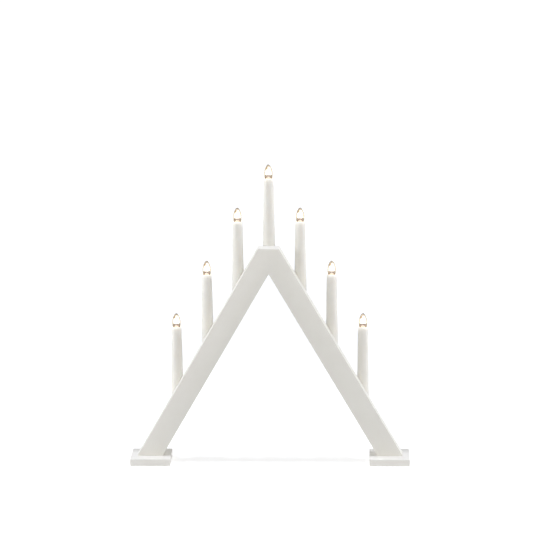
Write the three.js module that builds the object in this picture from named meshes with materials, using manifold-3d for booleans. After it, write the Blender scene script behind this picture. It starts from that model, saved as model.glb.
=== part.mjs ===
import * as THREE from 'three';
import { mergeVertices } from 'three/addons/utils/BufferGeometryUtils.js';
import Module from 'manifold-3d';

// Electric candlestick: two painted wooden arms meet in an inverted V on two flat feet
// and carry seven lit candles on their backs. Millimetres, +Z up, the front faces -Y,
// and the origin is on the table under the middle of the object.

const wasm = await Module();
wasm.setup();

// Wooden frame
const armSlope = Math.PI / 3;
const armWidth = 35;
const armDepth = 24;
const armReach = 213;
const armEdgeRound = 0.8;
const apexHalfWidth = 16.7;
const footHeight = 11.5;
const footDepth = 60;
const footInnerMargin = 13.3;
const footOuterMargin = 10.7;
const footBackMargin = 16.5;
const footEdgeRound = 1;

// Hidden joinery of the frame
const biscuitLength = 46;
const biscuitHeight = 19;
const biscuitThickness = 4;
const biscuitBelowTop = 21;
const biscuitFrontCover = 6;
const screwLength = 30;
const screwRadius = 2;
const screwHeadRadius = 4.2;
const screwHeadHeight = 2.4;
const screwSunk = 0.5;
const screwInset = 19;
const screwSpacing = 13;

// Candles, counted outwards from the one at the apex
const candlesPerArm = 3;
const candleInset = 63.9;
const seatAboveKerf = 8;
const apexSeatBelowKerf = 8.6;
const sleeveLength = 120;
const sleeveTopRadius = 7.95;
const sleeveBaseRadius = 10.1;
const sleeveWall = 1;
const sleeveShoulder = 0.7;
const sleeveNest = 1.5;

// Moulded lampholder inside each sleeve
const flangeThickness = 2.2;
const spigotHeight = 7.5;
const stemRadius = 5;
const stemBore = 3.2;
const socketWall = 1.5;
const socketFloor = 2;
const socketFloorHole = 1.6;
const ribThickness = 1.2;
const ribCount = 4;
const tabThickness = 2.6;
const tabHalfWidth = 7.8;
const tabScrewDrop = 18;
const tabScrewHole = 1.7;
const tabScrewHead = 3.2;
const tabEndRadius = 5.5;
const windowHalfWidth = 3.6;
const windowHeight = 6.5;
const windowDrop = 0.8;
const gussetThickness = 1.4;
const gussetReach = 10;
const gussetDrop = 12;
const gussetToe = 1;
const weldSink = 1;
const spigotTaper = 1;

// Bulb with a small screw cap; its profile is [share of its radius, share of its height]
const bulbProfile = [[0.66, 0], [0.93, 0.18], [1, 0.44], [0.9, 0.63], [0.52, 0.85], [0, 1]];
const bulbRise = 22;
const bulbLength = 42;
const bulbRadius = 6.7;
const glassWall = 0.55;
const neckRadius = 4.1;
const capRadius = 4.8;
const capWall = 0.4;
const capHeight = 13.8;
const capCollar = 0.5;
const capCollarRise = 1;
const capFloorDepth = 1.2;
const capFloorWidth = 1.4;
const capFloorRise = 0.5;
const capConeRise = 2.6;
const contactRadius = 1.9;
const contactHeight = 2.4;
const filamentHalfSpan = 2.6;
const filamentHeight = 27;
const filamentWire = 0.3;
const filamentSag = 1.5;
const filamentBow = 0.4;
const pinchHalfWidth = 1.6;
const supportSpread = 1.4;
const supportKnee = 3;

// Wiring laid in a saw kerf along the back of each arm
const kerfWidth = 3.2;
const kerfDepth = 9.5;
const kerfEndRise = 31;
const pocketRadius = 6.5;
const wireRadius = 0.8;
const wireSpread = 1.1;
const windowLead = 1.8;
const windowSill = 1.1;
const pocketSlack = 2;
const apexTurns = [[3.3, 3.1], [5.3, 2.2], [7.5, null]];
const footwardTurns = [[1.5, -3], [2.4, null], [4, null]];
const apexwardTurns = [[2.6, 0.6], [4.6, null], [6.5, null]];
const apexTurn = 4;
const inletTurns = { feed: [-1.5, 1], return: [2.2, -0.5] };
const inletWireSpread = 3;
const inletWireDrop = 1;

// Cord inlet near the left foot
const inletWidth = 20;
const inletHeight = 26;
const inletDepth = 12;
const inletWall = 1.8;
const inletCorner = 3;
const inletMouthRadius = 3.4;
const inletBossRadius = 2.6;
const inletBossInset = 4;
const inletScrewHole = 1.1;

// Clearances and roundness
const clearance = 0.3;
const cutSpare = 1;
const fineSides = 18;
const plainSides = 12;
const smallSides = 8;
const wireSides = 5;
const wireBendSteps = 7;
const loopSteps = 7;
const bulbSteps = 6;
const apexSteps = 4;
const edgeSteps = 2;
const curveSteps = 4;
const mergeDistance = 1e-4;

// Places that follow from the sizes above
const rise = Math.tan(armSlope);
const armBack = footDepth / 2 - footBackMargin;
const armFront = armBack - armDepth;
const apexTop = footHeight + (armReach - apexHalfWidth) * rise;
const armCut = armWidth / Math.sin(armSlope);
const kerfFloor = armBack - kerfDepth;
const candleY = armBack + sleeveBaseRadius - sleeveNest;
const fluteRadius = sleeveBaseRadius + clearance;
const candlePitch = (armReach - candleInset) / candlesPerArm;
const inletX = armReach - kerfEndRise / rise - armCut / 2;
const upperWireY = kerfFloor + 3 * wireRadius + 2 * clearance;
const lowerWireY = kerfFloor + wireRadius + clearance;

const outerFaceZ = (x) => footHeight + (armReach - Math.abs(x)) * rise;
const innerFaceZ = (x) => outerFaceZ(x) - armWidth / Math.cos(armSlope);
const kerfZ = (x) => (outerFaceZ(x) + innerFaceZ(x)) / 2;

// Returns a closed body: shared corners merged, flat slivers dropped, faces pointing out
function closed(geometry) {
  const bare = geometry.clone();
  bare.deleteAttribute('normal');
  bare.deleteAttribute('uv');
  const merged = mergeVertices(bare, mergeDistance);
  const position = merged.attributes.position;
  const corners = [0, 1, 2].map(() => new THREE.Vector3());
  const faces = [];
  let volume = 0;
  for (let i = 0; i < merged.index.count; i += 3) {
    const face = [0, 1, 2].map((k) => merged.index.getX(i + k));
    if (face[0] === face[1] || face[1] === face[2] || face[2] === face[0]) continue;
    corners.forEach((corner, k) => corner.fromBufferAttribute(position, face[k]));
    volume += corners[0].dot(corners[1].cross(corners[2]));
    faces.push(face);
  }
  const outward = volume < 0 ? faces.map((face) => face.reverse()) : faces;
  merged.setIndex(outward.flat());
  return merged;
}

function toSolid(geometry) {
  const body = closed(geometry);
  const vertProperties = new Float32Array(body.attributes.position.array);
  const triVerts = new Uint32Array(body.index.array);
  return new wasm.Manifold(new wasm.Mesh({ numProp: 3, vertProperties, triVerts }));
}

function toGeometry(solid) {
  const mesh = solid.getMesh();
  const geometry = new THREE.BufferGeometry();
  geometry.setAttribute('position', new THREE.BufferAttribute(new Float32Array(mesh.vertProperties), 3));
  geometry.setIndex(new THREE.BufferAttribute(new Uint32Array(mesh.triVerts), 1));
  return geometry;
}

// Turns a profile of [radius, height] pairs about a vertical axis
function turned(profile, sides) {
  const points = profile.map(([radius, height]) => new THREE.Vector2(Math.max(radius, 0), height));
  return new THREE.LatheGeometry(points, sides).rotateX(Math.PI / 2);
}

function ring(profile, sides) {
  return turned([...profile, profile[0]], sides);
}

function rod(radius, low, high, sides) {
  return turned([[0, low], [radius, low], [radius, high], [0, high]], sides);
}

// A round pocket sunk from the back of an arm to the depth of the kerf
function kerfPocket(x, z) {
  return toSolid(drilled(pocketRadius, x, z, armBack + cutSpare, kerfDepth + cutSpare, fineSides));
}

// Extrudes an outline drawn in x and z from its back face towards the front
function frontal(shape, back, depth, round = 0) {
  const options = { depth: depth - 2 * round, curveSegments: curveSteps, bevelEnabled: round > 0 };
  const bevel = { bevelThickness: round, bevelSize: round, bevelOffset: -round, bevelSegments: edgeSteps };
  const geometry = new THREE.ExtrudeGeometry(shape, { ...options, ...bevel });
  return geometry.rotateX(Math.PI / 2).translate(0, back - round, 0);
}

function drilled(radius, x, z, back, depth, sides) {
  const hole = rod(radius, 0, depth, sides);
  return hole.rotateX(Math.PI / 2).translate(x, back, z);
}

function box(low, high) {
  const size = high.map((value, axis) => value - low[axis]);
  const centre = high.map((value, axis) => (value + low[axis]) / 2);
  return new THREE.BoxGeometry(...size).translate(...centre);
}

function polygon(points) {
  return new THREE.Shape(points.map(([x, z]) => new THREE.Vector2(x, z)));
}

// A route through chosen points whose stretches between groups stay straight
class Route extends THREE.Curve {
  constructor(stations) {
    super();
    this.stations = stations;
  }

  getPoint(t, target = new THREE.Vector3()) {
    const place = Math.min(Math.max(t, 0), 1) * (this.stations.length - 1);
    const start = Math.min(Math.floor(place), this.stations.length - 2);
    return target.copy(this.stations[start]).lerp(this.stations[start + 1], place - start);
  }

  getPointAt(u, target) {
    return this.getPoint(u, target);
  }

  getTangent(t, target = new THREE.Vector3()) {
    const near = Math.round(t * (this.stations.length - 1));
    const before = this.stations[Math.max(near - 1, 0)];
    const here = this.stations[near];
    const after = this.stations[Math.min(near + 1, this.stations.length - 1)];
    const arriving = here.clone().sub(before).normalize();
    const leaving = after.clone().sub(here).normalize();
    return target.copy(arriving).add(leaving).normalize();
  }

  getTangentAt(u, target) {
    return this.getTangent(u, target);
  }
}

function sweep(stations, radius, sides) {
  const angles = Array.from({ length: sides }, (_, i) => (2 * Math.PI * i) / sides);
  const section = polygon(angles.map((angle) => [radius * Math.cos(angle), radius * Math.sin(angle)]));
  const steps = stations.length - 1;
  return new THREE.ExtrudeGeometry(section, { steps, extrudePath: new Route(stations), bevelEnabled: false });
}

function bend(points, steps) {
  return new THREE.CatmullRomCurve3(points.map((point) => new THREE.Vector3(...point))).getPoints(steps);
}

// Candle places, from the far left to the far right
function candleStations() {
  const stations = [];
  for (let step = -candlesPerArm; step <= candlesPerArm; step += 1) {
    const x = step * candlePitch;
    const seat = kerfZ(x) + (step === 0 ? -apexSeatBelowKerf : seatAboveKerf);
    const top = seat + flangeThickness + sleeveLength;
    const windowZ = seat - windowDrop - windowHeight / 2;
    stations.push({ number: step + candlesPerArm + 1, step, x, top, seat, windowZ });
  }
  return stations;
}

const candles = candleStations();

// Arms
function lens(length, height) {
  const half = length / 2;
  const arcRadius = (half * half + (height * height) / 4) / height;
  const centre = arcRadius - height / 2;
  const spread = Math.asin(half / arcRadius);
  const shape = new THREE.Shape();
  shape.absarc(0, -centre, arcRadius, Math.PI / 2 - spread, Math.PI / 2 + spread, false);
  shape.absarc(0, centre, arcRadius, -Math.PI / 2 - spread, -Math.PI / 2 + spread, false);
  return shape;
}

function biscuitGeometry(play) {
  const outline = lens(biscuitLength + 2 * play, biscuitHeight + 2 * play);
  const back = armFront + biscuitFrontCover + biscuitThickness + play;
  return frontal(outline, back, biscuitThickness + 2 * play).translate(0, 0, apexTop - biscuitBelowTop);
}

function screwPlaces() {
  const outerX = armReach - screwInset;
  const y = (armBack + armFront) / 2;
  return [outerX, outerX - screwSpacing].map((x) => ({ x, y }));
}

function screwGeometry(play) {
  const tip = screwSunk + screwLength + play;
  const start = play > 0 ? -play : screwSunk;
  const neck = screwSunk + screwHeadHeight + play;
  const shank = screwRadius + play;
  const head = screwHeadRadius + play;
  const headProfile = [[0, start], [head, start], [head, screwSunk + play]];
  return turned([...headProfile, [shank, neck], [shank, tip - shank], [0, tip]], smallSides);
}

function kerfShape() {
  const along = new THREE.Vector2(Math.cos(armSlope), -Math.sin(armSlope));
  const across = new THREE.Vector2(-along.y, along.x).multiplyScalar(kerfWidth / 2);
  const top = new THREE.Vector2(-armWidth, kerfZ(0) + armWidth * rise);
  const low = new THREE.Vector2(inletX, kerfZ(inletX));
  const upper = [top.clone().add(across), low.clone().add(across)];
  return new THREE.Shape([...upper, low.clone().sub(across), top.clone().sub(across)]);
}

function armOutline() {
  const spare = armWidth;
  const low = footHeight - spare;
  const lowOuter = armReach + spare / rise;
  return polygon([[lowOuter - armCut, low], [lowOuter, low], [apexHalfWidth, apexTop], [-spare, apexTop],
    [-spare, innerFaceZ(0)], [0, innerFaceZ(0)]]);
}

function rightArmGeometry() {
  let arm = toSolid(frontal(armOutline(), armBack, armDepth, armEdgeRound));
  arm = arm.subtract(toSolid(frontal(kerfShape(), armBack + cutSpare, kerfDepth + cutSpare)));
  for (const candle of candles.filter((one) => one.step >= 0)) {
    const flute = rod(fluteRadius, candle.seat - clearance, apexTop + armReach, fineSides);
    arm = arm.subtract(toSolid(flute.translate(candle.x, candleY, 0)));
    const middle = (candle.windowZ + kerfZ(candle.x)) / 2;
    arm = arm.subtract(kerfPocket(candle.x, middle));
  }
  for (const place of screwPlaces()) {
    arm = arm.subtract(toSolid(screwGeometry(clearance).translate(place.x, place.y, 0)));
  }
  arm = arm.subtract(toSolid(biscuitGeometry(clearance)));
  const side = armReach + cutSpare;
  const top = apexTop + cutSpare;
  const half = polygon([[0, footHeight], [side, footHeight], [side, top], [0, top]]);
  const keep = frontal(half, armBack + cutSpare, armDepth + 2 * cutSpare);
  return toGeometry(arm.intersect(toSolid(keep)));
}

// Feet
function rightFootGeometry() {
  const inner = armReach - armCut - footInnerMargin;
  const outer = armReach + footOuterMargin;
  const round = footEdgeRound;
  const outline = polygon([[inner, 0], [outer, 0], [outer, footHeight], [inner, footHeight]]);
  let foot = toSolid(frontal(outline, footDepth / 2, footDepth, round));
  for (const place of screwPlaces()) {
    foot = foot.subtract(toSolid(screwGeometry(clearance).translate(place.x, place.y, 0)));
  }
  return toGeometry(foot);
}

const mirrored = (geometry) => geometry.clone().scale(-1, 1, 1);

// The left arm is the right one mirrored, with one more pocket behind the cord inlet
function leftArmGeometry(rightArm) {
  return toGeometry(toSolid(mirrored(rightArm)).subtract(kerfPocket(-inletX, kerfZ(inletX))));
}

// Sleeves
function sleeveInnerRadius(height) {
  const taper = (sleeveBaseRadius - sleeveTopRadius) / sleeveLength;
  return sleeveBaseRadius - sleeveWall - taper * height;
}

function sleeveGeometry() {
  const top = sleeveLength;
  const corner = sleeveShoulder * (1 - Math.SQRT1_2);
  return ring([
    [sleeveBaseRadius, 0],
    [sleeveTopRadius, top - sleeveShoulder],
    [sleeveTopRadius - corner, top - corner],
    [sleeveTopRadius - sleeveShoulder, top],
    [sleeveInnerRadius(top), top],
    [sleeveInnerRadius(0), 0],
  ], fineSides);
}

// Lampholders, drawn from the underside of the flange
function holderBarrel() {
  const contactTip = flangeThickness + sleeveLength + bulbRise - bulbLength;
  const top = contactTip + capHeight - clearance;
  const floorTop = contactTip - clearance;
  const floorLow = floorTop - socketFloor;
  const bore = capRadius + clearance;
  const outer = bore + socketWall;
  const spigotTop = flangeThickness + spigotHeight;
  const spigot = sleeveInnerRadius(spigotHeight) - clearance;
  return ring([
    [stemBore, 0],
    [sleeveBaseRadius, 0],
    [sleeveBaseRadius, flangeThickness],
    [spigot, flangeThickness],
    [spigot, spigotTop],
    [stemRadius, spigotTop + spigotTaper],
    [stemRadius, floorLow - socketFloor],
    [outer, floorLow],
    [outer, top],
    [bore, top],
    [bore, floorTop],
    [socketFloorHole, floorTop],
    [socketFloorHole, floorLow],
    [stemBore, floorLow - stemBore + socketFloorHole],
  ], plainSides);
}

function holderRib(turn) {
  const low = spigotHeight;
  const high = sleeveLength + bulbRise - bulbLength - 3 * socketFloor;
  const reach = (height) => sleeveInnerRadius(height) - clearance;
  const root = stemRadius - weldSink;
  const rib = polygon([[root, low], [reach(low), low], [reach(high), high], [root, high]]);
  const plate = frontal(rib, ribThickness / 2, ribThickness).translate(0, 0, flangeThickness);
  return plate.rotateZ(turn);
}

function holderTab() {
  const back = armBack - candleY + tabThickness;
  const outline = new THREE.Shape();
  outline.moveTo(-tabHalfWidth, flangeThickness);
  outline.lineTo(-tabHalfWidth, -windowDrop - windowHeight);
  outline.absarc(0, -tabScrewDrop, tabEndRadius, Math.PI, 2 * Math.PI, false);
  outline.lineTo(tabHalfWidth, -windowDrop - windowHeight);
  outline.lineTo(tabHalfWidth, flangeThickness);
  return frontal(outline, back, tabThickness);
}

function holderGusset(side) {
  const start = armBack - candleY + tabThickness - weldSink;
  const brace = new THREE.Shape([
    new THREE.Vector2(start, flangeThickness / 2),
    new THREE.Vector2(start, -gussetDrop),
    new THREE.Vector2(start + gussetToe, -gussetDrop),
    new THREE.Vector2(start + gussetReach, 0),
    new THREE.Vector2(start + gussetReach, flangeThickness / 2),
  ]);
  const plate = new THREE.ExtrudeGeometry(brace, { depth: gussetThickness, bevelEnabled: false });
  plate.rotateX(Math.PI / 2).rotateZ(Math.PI / 2);
  const outer = side * (tabHalfWidth - gussetThickness);
  return plate.translate(outer - (side < 0 ? gussetThickness : 0), 0, 0);
}

function holderGeometry() {
  const tabBack = armBack - candleY + tabThickness;
  const through = tabThickness + 2 * cutSpare;
  const head = tabScrewHead - tabScrewHole;
  let holder = toSolid(holderBarrel()).add(toSolid(holderTab()));
  for (const side of [-1, 1]) {
    holder = holder.add(toSolid(holderGusset(side)));
  }
  for (let i = 0; i < ribCount; i += 1) {
    holder = holder.add(toSolid(holderRib(Math.PI / ribCount + (2 * Math.PI * i) / ribCount)));
  }
  const windowLow = [-windowHalfWidth, tabBack - through, -windowDrop - windowHeight];
  const windowHigh = [windowHalfWidth, tabBack + cutSpare, -windowDrop];
  const shank = drilled(tabScrewHole, 0, -tabScrewDrop, tabBack + cutSpare, through, smallSides);
  const open = head + cutSpare;
  const cone = [[0, 0], [tabScrewHole, 0], [tabScrewHead, head], [tabScrewHead, open], [0, open]];
  const sunk = turned(cone, smallSides).rotateX(-Math.PI / 2).translate(0, tabBack - head, -tabScrewDrop);
  holder = holder.subtract(toSolid(box(windowLow, windowHigh)));
  holder = holder.subtract(toSolid(shank));
  return toGeometry(holder.subtract(toSolid(sunk)));
}

// Bulbs, drawn from the tip of the contact
function bulbOutline() {
  const shoulder = capHeight + capCollarRise + clearance;
  const points = bulbProfile.map(([width, height]) => new THREE.Vector2(
    width * bulbRadius, shoulder + height * (bulbLength - shoulder)));
  return new THREE.SplineCurve(points).getPoints(bulbSteps).map((point) => [point.x, point.y]);
}

function glassGeometry() {
  const outside = bulbOutline();
  const neckLow = capHeight / 2;
  const inside = outside.slice(0, -1).map(([radius, height]) => [radius - glassWall, height]);
  const tip = [0, bulbLength - 2 * glassWall];
  const neckOuter = [[neckRadius, neckLow], [neckRadius, capHeight]];
  const neckInner = [[neckRadius - glassWall, capHeight], [neckRadius - glassWall, neckLow]];
  return ring([...neckOuter, ...outside, tip, ...inside.reverse(), ...neckInner], plainSides);
}

function capGeometry() {
  const floor = contactHeight - capFloorDepth;
  const bore = contactRadius + clearance;
  const inner = capRadius - capWall;
  const collarTop = capHeight + capCollarRise;
  return ring([
    [bore, floor],
    [bore + capFloorWidth, floor + capFloorRise],
    [capRadius, floor + capConeRise],
    [capRadius, capHeight],
    [capRadius + capCollar, capHeight + capCollar],
    [capRadius + capCollar, collarTop],
    [neckRadius + clearance, collarTop],
    [inner, capHeight],
    [inner, floor + capConeRise + capWall],
    [bore, contactHeight],
  ], plainSides);
}

function contactGeometry() {
  const shoulder = contactHeight / 2;
  const dome = contactRadius * Math.SQRT1_2;
  const top = contactHeight - capWall / 4;
  return turned([[0, 0], [dome, shoulder * (1 - Math.SQRT1_2)], [contactRadius, shoulder],
    [contactRadius, top], [0, top]], smallSides);
}

function filamentGeometry() {
  const stem = neckRadius - glassWall - clearance;
  const low = capHeight / 2 + clearance;
  const pinch = capHeight + capCollarRise;
  const shoulder = capHeight - capCollarRise;
  const profile = [[0, low], [stem, low], [stem, shoulder], [pinchHalfWidth, pinch], [0, pinch]];
  const rising = [
    [-pinchHalfWidth / 2, 0, shoulder],
    [-supportSpread, 0, pinch + supportKnee],
    [-filamentHalfSpan, 0, filamentHeight],
  ];
  const falling = rising.map(([x, y, z]) => [-x, y, z]).reverse();
  const loop = [...rising, [0, filamentBow, filamentHeight - filamentSag], ...falling];
  const wire = sweep(bend(loop, loopSteps), filamentWire, 4);
  return toGeometry(toSolid(turned(profile, smallSides / 2)).add(toSolid(wire)));
}

// Wiring: each wire leaves a lampholder's stem through its window and turns into the kerf
function stemExit(candle, side) {
  const x = candle.x + side * wireSpread;
  const socketFloorLow = candle.top + bulbRise - bulbLength - clearance - socketFloor;
  return [
    [x, candleY, socketFloorLow - stemBore],
    [x, candleY, candle.seat + windowDrop],
    [x, candleY - stemBore / 2, candle.windowZ + windowLead],
    [x, armBack, candle.windowZ + windowSill],
  ];
}

// Points from a window into the kerf: [along the arm, above the window or null on the kerf's line]
function kerfEntry(candle, side, layer) {
  const toFoot = candle.step === 0 || Math.sign(candle.step) === side;
  const turns = candle.step === 0 ? apexTurns : toFoot ? footwardTurns : apexwardTurns;
  const depths = [layer + pocketSlack, layer, layer];
  return turns.map(([along, up], i) => {
    const x = candle.x + side * along;
    return [x, depths[i], up === null ? kerfZ(x) : candle.windowZ + up];
  });
}

function wireEnd(candle, side, layer) {
  return bend([...stemExit(candle, side), ...kerfEntry(candle, side, layer)], wireBendSteps);
}

function linkGeometry(left, right) {
  const leaving = wireEnd(left, 1, upperWireY);
  const arriving = wireEnd(right, -1, upperWireY).reverse();
  return sweep([...leaving, ...arriving], wireRadius, wireSides);
}

// Bends from the kerf through the pocket into the inlet, on its left or right half
function inletEntry(side, layer) {
  const z = kerfZ(inletX);
  const [turnX, turnZ] = side < 0 ? inletTurns.feed : inletTurns.return;
  const kerfPoint = (along) => [along - inletX, layer, kerfZ(inletX - along)];
  return bend([
    kerfPoint(pocketRadius),
    kerfPoint(pocketSlack),
    [turnX - inletX, layer + pocketSlack, z + turnZ],
    [side * inletWireSpread - inletX, armBack, z - inletWireDrop],
    [side * inletMouthRadius - inletX, armBack + inletDepth / 2 - wireRadius, z - 4 * inletWireDrop],
  ], wireBendSteps);
}

function feedGeometry() {
  const first = wireEnd(candles[0], -1, upperWireY);
  return sweep([...first, ...inletEntry(-1, upperWireY)], wireRadius, wireSides);
}

function returnGeometry() {
  const last = wireEnd(candles.at(-1), 1, lowerWireY);
  const apex = bend([
    [apexTurn, lowerWireY, kerfZ(apexTurn)],
    [0, lowerWireY, kerfZ(0) - apexTurn / 2],
    [-apexTurn, lowerWireY, kerfZ(apexTurn)],
  ], apexSteps);
  return sweep([...last, ...apex, ...inletEntry(1, lowerWireY)], wireRadius, wireSides);
}

// Cord inlet: a rounded cover, open towards the arm, with two screw bosses and a mouth below
function inletOutline(inset) {
  const corner = inletCorner - inset;
  const right = inletWidth / 2 - inset - corner;
  const top = inletHeight / 2 - inset - corner;
  const shape = new THREE.Shape();
  shape.absarc(right, top, corner, 0, Math.PI / 2, false);
  shape.absarc(-right, top, corner, Math.PI / 2, Math.PI, false);
  shape.absarc(-right, -top, corner, Math.PI, 1.5 * Math.PI, false);
  shape.absarc(right, -top, corner, 1.5 * Math.PI, 2 * Math.PI, false);
  return shape;
}

function inletGeometry() {
  const back = armBack + inletDepth;
  const inside = back - inletWall;
  const rootY = inside + inletWall / 2;
  const bossX = inletWidth / 2 - inletBossInset;
  const bossZ = inletHeight / 2 - inletBossInset;
  const mouthLow = -inletHeight / 2 - cutSpare;
  const mouthHigh = -inletHeight / 2 + inletWall + cutSpare;
  const mouth = rod(inletMouthRadius, mouthLow, mouthHigh, smallSides);
  let inlet = toSolid(frontal(inletOutline(0), back, inletDepth));
  inlet = inlet.subtract(toSolid(frontal(inletOutline(inletWall), inside, inletDepth)));
  inlet = inlet.subtract(toSolid(mouth.translate(0, armBack + inletDepth / 2, 0)));
  for (const x of [-bossX, bossX]) {
    const boss = drilled(inletBossRadius, x, bossZ, rootY, rootY - armBack, smallSides);
    const hole = drilled(inletScrewHole, x, bossZ, back + cutSpare, inletDepth + 2 * cutSpare, smallSides);
    inlet = inlet.add(toSolid(boss)).subtract(toSolid(hole));
  }
  return toGeometry(inlet).translate(-inletX, 0, kerfZ(inletX));
}

// Materials
const paintedWood = new THREE.MeshStandardMaterial({ color: 0xefedea, roughness: 0.5, metalness: 0 });
const sleevePlastic = new THREE.MeshStandardMaterial({ color: 0xf4f1ea, roughness: 0.35, metalness: 0 });
const holderPlastic = new THREE.MeshStandardMaterial({ color: 0xe9e6df, roughness: 0.45, metalness: 0 });
const clearGlass = new THREE.MeshStandardMaterial({ color: 0xfff6e2, roughness: 0.03, metalness: 0 });
clearGlass.transparent = true;
clearGlass.opacity = 0.4;
const capBrass = new THREE.MeshStandardMaterial({ color: 0xb08a4a, roughness: 0.3, metalness: 1 });
const solder = new THREE.MeshStandardMaterial({ color: 0x9d9d9a, roughness: 0.4, metalness: 1 });
const filamentMetal = new THREE.MeshStandardMaterial({ color: 0xffc98a, roughness: 0.4, metalness: 0.6 });
const wireCover = new THREE.MeshStandardMaterial({ color: 0xeeece6, roughness: 0.5, metalness: 0 });
const zincSteel = new THREE.MeshStandardMaterial({ color: 0xa9abab, roughness: 0.35, metalness: 1 });
const beechWood = new THREE.MeshStandardMaterial({ color: 0xc9a877, roughness: 0.7, metalness: 0 });

// Scene graph
const candlestick = new THREE.Group();

function add(parent, name, geometry, material) {
  const mesh = new THREE.Mesh(closed(geometry), material);
  mesh.name = name;
  parent.add(mesh);
  return mesh;
}

function addFrame() {
  const rightArm = rightArmGeometry();
  const leftArm = leftArmGeometry(rightArm);
  const rightFoot = rightFootGeometry();
  add(candlestick, 'arm_right', rightArm, paintedWood);
  add(candlestick, 'arm_left', leftArm, paintedWood);
  add(candlestick, 'foot_right', rightFoot, paintedWood);
  add(candlestick, 'foot_left', mirrored(rightFoot), paintedWood);
  add(candlestick, 'mitre_biscuit', biscuitGeometry(0), beechWood);
  for (const [name, side] of [['left', -1], ['right', 1]]) {
    screwPlaces().forEach((place, i) => {
      const screw = add(candlestick, `foot_screw_${name}_${i + 1}`, screwGeometry(0), zincSteel);
      screw.position.set(side * place.x, place.y, 0);
    });
  }
}

function addCandles() {
  const sleeve = sleeveGeometry();
  const holder = holderGeometry();
  const glass = glassGeometry();
  const cap = capGeometry();
  const contact = contactGeometry();
  const filament = filamentGeometry();
  for (const candle of candles) {
    const stand = new THREE.Group();
    stand.position.set(candle.x, candleY, candle.seat);
    candlestick.add(stand);
    add(stand, `lampholder_${candle.number}`, holder, holderPlastic);
    add(stand, `candle_sleeve_${candle.number}`, sleeve, sleevePlastic).position.z = flangeThickness;
    const bulb = new THREE.Group();
    bulb.position.z = flangeThickness + sleeveLength + bulbRise - bulbLength;
    stand.add(bulb);
    add(bulb, `bulb_glass_${candle.number}`, glass, clearGlass);
    add(bulb, `bulb_cap_${candle.number}`, cap, capBrass);
    add(bulb, `bulb_contact_${candle.number}`, contact, solder);
    add(bulb, `bulb_filament_${candle.number}`, filament, filamentMetal);
  }
}

function addWiring() {
  for (let i = 0; i + 1 < candles.length; i += 1) {
    add(candlestick, `wire_link_${i + 1}`, linkGeometry(candles[i], candles[i + 1]), wireCover);
  }
  add(candlestick, 'wire_feed', feedGeometry(), wireCover);
  add(candlestick, 'wire_return', returnGeometry(), wireCover);
  add(candlestick, 'cord_inlet', inletGeometry(), holderPlastic);
}

addFrame();
addCandles();
addWiring();

export default candlestick;
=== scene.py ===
import math

import bmesh
import bpy
from mathutils import Matrix, Vector


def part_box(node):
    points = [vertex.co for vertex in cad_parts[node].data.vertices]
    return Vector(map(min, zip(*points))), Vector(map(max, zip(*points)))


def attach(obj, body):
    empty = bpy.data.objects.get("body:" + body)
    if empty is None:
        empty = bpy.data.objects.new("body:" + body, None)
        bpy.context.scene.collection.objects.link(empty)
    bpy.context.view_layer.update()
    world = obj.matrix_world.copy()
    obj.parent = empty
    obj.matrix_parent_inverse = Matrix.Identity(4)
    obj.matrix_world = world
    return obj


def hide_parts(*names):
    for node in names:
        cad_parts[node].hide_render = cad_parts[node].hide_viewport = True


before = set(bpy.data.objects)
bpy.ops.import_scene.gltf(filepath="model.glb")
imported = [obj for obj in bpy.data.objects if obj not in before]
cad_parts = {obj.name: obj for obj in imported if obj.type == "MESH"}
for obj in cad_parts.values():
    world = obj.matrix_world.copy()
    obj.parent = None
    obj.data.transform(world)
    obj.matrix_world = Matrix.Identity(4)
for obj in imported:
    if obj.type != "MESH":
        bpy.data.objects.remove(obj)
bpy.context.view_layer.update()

# Electric candlestick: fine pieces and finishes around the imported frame. Metres, +Z up,
# the front faces -Y. Sizes are written in millimetres times MM.

MM = 0.001
NEAR_ZERO = 1e-6
STAND = "stand"

# Photograph's frame and the camera that took it
IMAGE_SIZE = 540
SENSOR = 36.0
FOCAL_PIXELS = 2455.1
CAMERA_PLACE = Vector((0.1255, -3.7793, 1.1943))
CAMERA_YAW = math.radians(-1.871)
CAMERA_PITCH = math.radians(-13.086)
CAMERA_ROLL = math.radians(-0.458)

# Wooden frame
ARM_SLOPE = math.radians(60)
ARM_WIDTH = 35 * MM
ARM_EDGE = 0.7 * MM
FOOT_EDGE = 0.6 * MM
EDGE_STEPS = 4
KERF_WIDTH = 3.2 * MM
KERF_DEPTH = 9.5 * MM
KERF_END_RISE = 31 * MM
POCKET_RADIUS = 6.5 * MM
CUT_PLAY = 0.3 * MM
CUT_SPARE = 3 * MM

# Sleeves
SLEEVE_TOP_RADIUS = 7.95 * MM
SLEEVE_WALL = 1.0 * MM
SLEEVE_LIP = 0.7 * MM
CANDLE_COUNT = 7
TURNED_SIDES = 96

# Lampholders, measured from the underside of the flange
FLANGE_THICKNESS = 2.2 * MM
SPIGOT_HEIGHT = 7.5 * MM
STEM_RADIUS = 5 * MM
STEM_BORE = 3.2 * MM
SOCKET_WALL = 1.5 * MM
SOCKET_FLOOR = 2 * MM
SOCKET_FLOOR_HOLE = 1.6 * MM
RIB_THICKNESS = 1.2 * MM
RIB_COUNT = 4
TAB_THICKNESS = 2.6 * MM
TAB_HALF_WIDTH = 7.8 * MM
TAB_END_RADIUS = 5.5 * MM
TAB_SCREW_DROP = 18 * MM
TAB_SCREW_HOLE = 1.7 * MM
TAB_SCREW_HEAD = 3.2 * MM
WINDOW_HALF_WIDTH = 3.6 * MM
WINDOW_HEIGHT = 6.5 * MM
WINDOW_DROP = 0.8 * MM
GUSSET_THICKNESS = 1.4 * MM
GUSSET_REACH = 10 * MM
GUSSET_DROP = 12 * MM
GUSSET_TOE = 1 * MM
MOULD_ROUND = 0.35 * MM

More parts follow.
